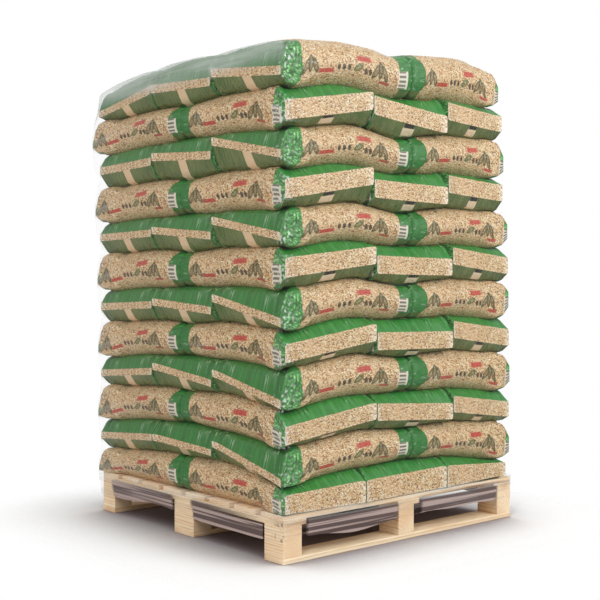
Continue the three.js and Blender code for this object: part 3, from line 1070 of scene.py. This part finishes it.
film_print, tree, shader = new_material("printed_polyethylene_film")
print_map_node = add(tree, "UVMap", uv_map="print")
place = add(tree, "SeparateXYZ", [print_map_node])
along, round_it = place.outputs["X"], place.outputs["Y"]
pellet_map_node = add(tree, "UVMap", uv_map="pellets")
tones = []
gaps = []
for angle in PELLETS_TURNED:
    turned = add(tree, "Mapping", {"Vector": pellet_map_node, "Rotation": (0, 0, angle),
                                   "Scale": (1 / PELLET_LONG, 1 / PELLET_ACROSS, 1)})
    rods = {"Vector": turned, "Scale": 1.0}
    one_rod = add(tree, "TexVoronoi", rods, voronoi_dimensions="2D")
    tones.append(add(tree, "SeparateColor", [one_rod.outputs["Color"]]))
    gaps.append(add(tree, "TexVoronoi", rods, voronoi_dimensions="2D", feature="DISTANCE_TO_EDGE"))
# A coarse noise chooses which way the rods lie.
patches = add(tree, "TexNoise", {"Vector": pellet_map_node, "Scale": ROD_PATCHES, "Detail": 1.0})
choose = add(tree, "Math", [patches, 0.5], operation="GREATER_THAN")
tone = add(tree, "Mix", {0: choose, 2: tones[0], 3: tones[1]})
gap = add(tree, "Mix", {0: choose, 2: gaps[0], 3: gaps[1]})
pellet_colour = add(tree, "ValToRGB", [tone])
set_stops(pellet_colour, [(0.0, "#6E421F"), (0.12, "#A37241"), (0.28, "#D6A971"), (0.62, "#EFD09B"),
                          (1.0, "#FFF3D4")])
in_gap = add(tree, "MapRange", [gap, 0.03, 0.13, 0.80, 0.0])
clouds = add(tree, "TexNoise", {"Vector": pellet_map_node, "Scale": CLOUDS, "Detail": 1.0})
cloudy = add(tree, "MapRange", [clouds, 0.45, 0.75, 0.0, 0.25])
pellets = painted(tree, pellet_colour, [(in_gap, "#63401E"), (cloudy, "#E6BC94")])
print("pellets:", len(tree.nodes), "nodes")

# %% [markdown]
# The green ends are printed in one flat ink. Their edge is a little wavy, and on a round side it bows
# towards the middle. At the slot end a slot for a hand is folded shut beside a patch without ink; the slot
# is painted near black, as painted shade in it. At the band end a strip without ink, the stem, runs down
# the fold.

# %% Where the green ends are
CAP_WIDTH = 0.062
CAP_WAVE = 0.006
CAP_BOW = 0.010
CAP_BACK = 0.004
# How wide the stem, the patch and the slot are to each side of the underside's middle
HALF_STEM = 0.026
HALF_PATCH = 0.030
HALF_SLOT = 0.024
PATCH_FROM = 0.259
SLOT_FROM = 0.2785
SLOT_TO = 0.2848

from_middle = add(tree, "Math", [along], operation="ABSOLUTE")
edge_noise = add(tree, "TexNoise", {"Vector": print_map_node, "Scale": 22.0})
wavy = add(tree, "Math", [edge_noise, CAP_WAVE, from_middle], operation="MULTIPLY_ADD")
wavy = add(tree, "Math", [wavy, CAP_BACK], operation="SUBTRACT")
from_belly = add(tree, "Math", [round_it, HALF[2]], operation="SUBTRACT")
from_belly = add(tree, "Math", [from_belly, HALF[2]], operation="DIVIDE")
bow = add(tree, "Math", [from_belly, from_belly], operation="MULTIPLY")
bow = add(tree, "Math", [1.0, bow], operation="SUBTRACT")
bow = add(tree, "Math", [bow, 0.0], operation="MAXIMUM")
wavy = add(tree, "Math", [bow, CAP_BOW, wavy], operation="MULTIPLY_ADD")
cap = add(tree, "MapRange", [wavy, HALF[0] - CAP_WIDTH, HALF[0] - CAP_WIDTH + 0.003])
under_middle = distance(tree, round_it, -HALF[1])
is_under = add(tree, "Math", [round_it, 0.0], operation="LESS_THAN")
stem = product(tree, between(tree, under_middle, -1.0, HALF_STEM, 0.002),
               add(tree, "Math", [along, 0.0], operation="LESS_THAN"), is_under)
patch = product(tree, is_under, between(tree, under_middle, -1.0, HALF_PATCH, 0.001),
                between(tree, along, PATCH_FROM, SLOT_FROM, 0.001))
# The slot's near-black colour is painted shade.
slot = product(tree, is_under, between(tree, under_middle, -1.0, HALF_SLOT, 0.001),
               between(tree, along, SLOT_FROM, SLOT_TO, 0.0005))
green_part = product(tree, cap, add(tree, "Math", [along, 0.5], operation="LESS_THAN"),
                     add(tree, "Math", [1.0, stem], operation="SUBTRACT"))
print("caps reach", CAP_WIDTH, "m in from the ends")

# %% [markdown]
# Where crinkles in the film would catch the light, short pale lines are painted on the green as painted
# highlights. On the sides of a sack's outer end the film is crumpled, with ridges about 14 mm apart and
# dents between them. On its top and at its inner end the next sack keeps the film taut, and the crinkles
# are faint and drawn out.

# %% Crinkles in the green ends
# Ridges are about 14 mm apart, dents 17 mm, and streaks 45 by 12 mm. Pale lines show in places 33 mm apart.
RIDGES = 74.0
DENTS = 60.0
STREAKS = (22.0, 80.0, 1.0)
LINE_PLACES = 30.0

crumple = add(tree, "TexNoise", {"Vector": print_map_node, "Scale": RIDGES, "Detail": 2.5,
                                 "Roughness": 0.55}, noise_type="RIDGED_MULTIFRACTAL")
crumple = add(tree, "Math", [crumple], operation="SQRT")
ridges = add(tree, "MapRange", [crumple, 0.05, 0.55, 0.0, 0.50])
dents = add(tree, "TexNoise", {"Vector": print_map_node, "Scale": DENTS, "Detail": 3.0})
dents = add(tree, "MapRange", [dents, 0.3, 0.7, 0.0, 0.50])
crumpled = add(tree, "Math", [ridges, dents], operation="ADD")
drawn_out = add(tree, "Mapping", {"Vector": print_map_node, "Rotation": (0, 0, 0.6), "Scale": STREAKS})
streaks = add(tree, "TexNoise", {"Vector": drawn_out, "Scale": 1.0, "Detail": 2.0})
drawn = add(tree, "MapRange", [streaks, 0.2, 0.8, 0.27, 0.56])
on_top = add(tree, "MapRange", [round_it, SACK_HEIGHT - 0.010, SACK_HEIGHT + 0.012])
outwards = add(tree, "Attribute", attribute_name="outwards").outputs["Fac"]
inner = add(tree, "MapRange", [outwards, 0.5, 0.7, 1.0, 0.0])
calm = add(tree, "Math", [on_top, inner], operation="MAXIMUM")
relief = add(tree, "Mix", {0: calm, 2: crumpled, 3: drawn})
present = add(tree, "TexNoise", {"Vector": print_map_node, "Scale": LINE_PLACES, "Detail": 0.0})
ridge = distance(tree, streaks, 0.5)
painted_glint_line = product(tree, add(tree, "MapRange", [ridge, 0.004, 0.020, 1.0, 0.0]),
                    add(tree, "MapRange", [present, 0.58, 0.70, 0.0, 0.6]))
print("crinkles:", len(tree.nodes), "nodes")

# %% [markdown]
# The green is painted darker in the dents and paler on the ridges, as painted shade and painted highlights
# on the crumples. Broad patches get a coat of their own. The side near the next sack and the steeper slope
# at the band end get coats of painted shade, the crumpled outer ends a pale coat of painted sheen, and the
# parts without ink get their own colours.

# %% Colour of the green ends
# Broad patches are about 40 mm wide.
BROAD = 26.0

off_top = add(tree, "Math", [1.0, on_top], operation="SUBTRACT")
crumpled_sheen = add(tree, "Math", [1.0, calm], operation="SUBTRACT")
broad = add(tree, "TexNoise", {"Vector": print_map_node, "Scale": BROAD, "Detail": 1.0})
# This ramp paints shade into the dents and highlights onto the ridges of the crumpled film.
ink = add(tree, "ValToRGB", [relief])
set_stops(ink, [(0.10, "#0E3A14"), (0.30, "#1F6A22"), (0.52, "#3B973E"), (0.74, "#7BC76C"),
                (0.92, "#D2F0C8")])
# The top slopes down more steeply at the band end, and the green there is painted duller and darker as
# painted shade.
sloping_shade = product(tree, on_top, add(tree, "MapRange", [along, -0.10, -0.20, 0.0, 0.34]))
# Underneath, the folded film is painted olive: partly its own duller green, partly painted shade under
# the fold.
olive = painted(tree, "#4F6631", [(add(tree, "MapRange", [broad, 0.3, 0.7]), "#727D47")])
# Coats: broad tone patches; painted shade on the side near the next sack and on the band end's slope; a pale
# painted sheen on the crumpled outer ends; painted glint lines; the olive underside, partly shade.
green = painted(tree, ink, [(add(tree, "MapRange", [broad, 0.45, 0.75, 0.0, 0.25]), "#62A856"),
                            (product(tree, inner, off_top, 0.45), "#1D5C1F"), (sloping_shade, "#2F5420"),
                            # The pale #B2DCA6 coat on the crumpled outer ends is a painted sheen.
                            (product(tree, crumpled_sheen, 0.10), "#B2DCA6"), (painted_glint_line, "#DCEFD9"),
                            (add(tree, "MapRange", [round_it, 0.004, -0.004]), olive)])
colour = painted(tree, pellets, [(stem, "#E2C49C"), (green_part, green), (patch, "#EAD4B2"),
                                 (slot, "#100E0B")])
print("green ends:", len(tree.nodes), "nodes")

# %% [markdown]
# The sacks' sides have a plain printed pattern: red bars, sprigs of olive leaves, dark dots and a ladder of
# dark bars on white. An image would fix it at one size of pixel. Drawn with nodes from its distance to each
# mark's middle, it stays sharp.

# %% Plain marks on the sides
# shape, colour, middle along and up the print, width, height and turn
MARKS = [("bar", "#B8231D", 0.052, 0.083, 0.066, 0.020, 0.10),
         ("bar", "#B8231D", -0.110, 0.033, 0.066, 0.016, 0.0),
         ("bar", "#A83022", 0.150, 0.020, 0.046, 0.013, 0.0),
         ("leaf", "#46602A", 0.026, 0.050, 0.046, 0.021, 0.5)]
for u in (-0.180, 0.127):
    for lean in (-1, 0, 1):
        up = 0.060 - 0.008 * abs(lean)
        MARKS.append(("leaf", "#45471C", u + 0.021 * lean, up, 0.060, 0.021, 1.5 + 0.5 * lean))
for u in (-0.058, -0.036, -0.014, 0.060, 0.080):
    MARKS.append(("dot", "#2A2015", u, 0.045, 0.014, 0.022, 0.2))
# The ink is thin in spots about 4 mm wide.
INK_SPOTS = 240.0

smudge = add(tree, "TexNoise", {"Vector": print_map_node, "Scale": INK_SPOTS, "Detail": 1.0})
smudged = add(tree, "MapRange", [smudge, 0.35, 0.60, 0.70, 1.0])
for shape, mark_ink, u, v, width, height, turn in MARKS:
    spot = add(tree, "Mapping", {"Vector": print_map_node, "Location": (u, v, 0), "Rotation": (0, 0, turn),
                                 "Scale": (width / 2, height / 2, 1)}, vector_type="TEXTURE")
    if shape == "bar":
        sides = add(tree, "VectorMath", [spot], operation="ABSOLUTE")
        parts = add(tree, "SeparateXYZ", [sides])
        far = add(tree, "Math", [parts.outputs["X"], parts.outputs["Y"]], operation="MAXIMUM")
    else:
        far = add(tree, "VectorMath", [spot], operation="LENGTH")
    mask = add(tree, "MapRange", [far, 0.85, 1.1, 1.0, 0.0])
    if shape == "leaf":
        mask = product(tree, mask, add(tree, "MapRange", [far, 0.40, 0.70, 0.62, 1.0]))
    colour = painted(tree, colour, [(product(tree, mask, smudged), mark_ink)])
print(len(MARKS), "marks")

# %% The ladder
LADDER_AT = (0.234, 0.045)
LADDER_SIZE = (0.046, 0.064)
LADDER_PITCH = 0.0150
# The rungs' ends, from the ladder's middle, and half a rung's height, as shares of its width and its pitch
RUNG_ENDS = (-0.42, 0.30)
HALF_RUNG = 0.27

beside_ladder = [LADDER_AT[0] + side * LADDER_SIZE[0] / 2 for side in (-1, 1)]
round_ladder = [LADDER_AT[1] + side * LADDER_SIZE[1] / 2 for side in (-1, 1)]
beside_rungs = [LADDER_AT[0] + LADDER_SIZE[0] * share for share in RUNG_ENDS]
ladder_high = between(tree, round_it, *round_ladder, 0.001)
ladder = product(tree, between(tree, along, *beside_ladder, 0.001), ladder_high, 0.85)
from_rung = add(tree, "Math", [round_it, LADDER_PITCH / 2], operation="PINGPONG")
rungs = product(tree, ladder_high, between(tree, along, *beside_rungs, 0.001),
                between(tree, from_rung, -1.0, LADDER_PITCH * HALF_RUNG, 0.0006), 0.8)
colour = painted(tree, colour, [(ladder, "#ECE3D2"), (rungs, "#4B3C2C")])
print("marks and ladder:", len(tree.nodes), "nodes")

# %% [markdown]
# The film is glossy polyethylene: IOR 1.5 and rather smooth. It lies on the pellets and is creased, so its
# gloss breaks up into small glints, and the rims of the folded ends are painted pale.

# %% Gloss, rims and bumps
# The pale rim is uneven every 9 mm, and the film over the pellets is creased about every 12 mm.
RIM_SPOTS = 110.0
CRINKLES = 85.0
RIM_FROM = 0.160
RIM_TO = 0.187

panel_middle = add(tree, "MapRange", [along, 1.49, 1.51, END_SLOT_U, END_BAND_U])
panel_across = distance(tree, along, panel_middle)
on_panel = add(tree, "Math", [along, 0.5], operation="GREATER_THAN")
rim_noise = add(tree, "TexNoise", {"Vector": print_map_node, "Scale": RIM_SPOTS, "Detail": 2.0})
rim = product(tree, add(tree, "MapRange", [panel_across, RIM_FROM, RIM_TO]), on_panel,
              add(tree, "MapRange", [rim_noise, 0.42, 0.60, 0.0, 0.9]))
colour = painted(tree, colour, [(product(tree, on_panel, 0.05), "#F2E2C4"), (rim, "#F7EEDD")])
lump_height = add(tree, "Math", [gap, 0.25], operation="MINIMUM")
lumps = add(tree, "Bump", {"Strength": 0.35, "Distance": 0.004, "Height": lump_height})
crinkle = add(tree, "TexNoise", {"Vector": print_map_node, "Scale": CRINKLES, "Detail": 3.0})
crinkle_height = add(tree, "Mix", {0: green_part, 2: product(tree, crinkle, 0.6),
                                   3: product(tree, relief, 1.1)})
creased = add(tree, "Bump", {"Strength": 0.7, "Distance": 0.006, "Height": crinkle_height, "Normal": lumps})
plug(tree, shader, {"Base Color": colour, "Normal": creased, "Roughness": 0.33, "IOR": 1.5})
for sack in sacks:
    sack.data.materials.clear()
    sack.data.materials.append(film_print)
print("sack material", len(tree.nodes), "nodes")

# %% [markdown]
# ## Sawn softwood
# The boards are rough sawn spruce: cream, with darker latewood lines along the grain. A tree's yearly rings
# are cylinders round its middle, so rings are drawn round the grain's direction and bent by noise. A board's
# face then shows long lines and its end shows arcs. The rings are drawn 7 mm apart, a little wide, to show.

# %% Wood materials
RING_GAP = 0.007
# Blender's ring texture repeats every 0.314 of its own units
RINGS_SCALE = 0.314 / RING_GAP
# Noise is drawn out along the grain, and the tree's middle lies beside the boards. Across the grain, fibres
# are 4 mm apart, warmer zones 110 mm and knots 140 mm.
GRAIN_STRETCH = 0.05
TREE_MIDDLE = (0.31, 0.31, 0.22)
FIBRES = 260.0
WARM_ZONES = 9.0
KNOTS = 7.0


def softwood(name, grain_axis):
    """Sawn softwood with its grain along one axis."""
    material, tree, shader = new_material(name)
    stretch = [1.0, 1.0, 1.0]
    stretch[grain_axis] = GRAIN_STRETCH
    offset = list(TREE_MIDDLE)
    offset[grain_axis] = 0.0
    place = add(tree, "TexCoord").outputs["Object"]
    drawn = add(tree, "Mapping", {"Vector": place, "Scale": stretch, "Location": offset})
    rings = add(tree, "TexWave", {"Vector": drawn, "Scale": RINGS_SCALE, "Distortion": 14.0, "Detail": 2.0,
                                  "Detail Scale": 0.5}, wave_type="RINGS", rings_direction="XYZ"[grain_axis])
    fine = add(tree, "TexNoise", {"Vector": drawn, "Scale": FIBRES, "Detail": 2.0})
    grain = add(tree, "Mix", {0: 0.60, 2: rings.outputs["Fac"], 3: fine})
    wood = add(tree, "ValToRGB", [grain])
    set_stops(wood, [(0.15, "#FFF0D6"), (0.50, "#FBE6C3"), (0.70, "#EFD0A4"), (0.90, "#D2A473")])
    tone = add(tree, "TexNoise", {"Vector": drawn, "Scale": WARM_ZONES, "Detail": 1.0})
    warm = add(tree, "MapRange", [tone, 0.35, 0.7, 0.0, 0.5])
    wood = add(tree, "Mix", {0: warm, 6: wood, 7: "#E6C3A0"}, data_type="RGBA", blend_type="MULTIPLY")
    knots = add(tree, "TexVoronoi", {"Vector": drawn, "Scale": KNOTS})
    knot = add(tree, "MapRange", [knots, 0.045, 0.085, 0.85, 0.0])
    fibres = add(tree, "Bump", {"Strength": 0.4, "Distance": 0.002, "Height": grain})
    plug(tree, shader, {"Base Color": painted(tree, wood, [(knot, "#8A5A34")]), "Normal": fibres,
                        "Roughness": 0.75})
    return material


along_x = softwood("sawn_softwood_along_x", 0)
along_y = softwood("sawn_softwood_along_y", 1)
for name in wood_names:
    mesh = nodes[name].data
    mesh.materials.clear()
    mesh.materials.append(along_y if "stringer" in name or "block" in name else along_x)
print(len(wood_names), "wooden pieces")
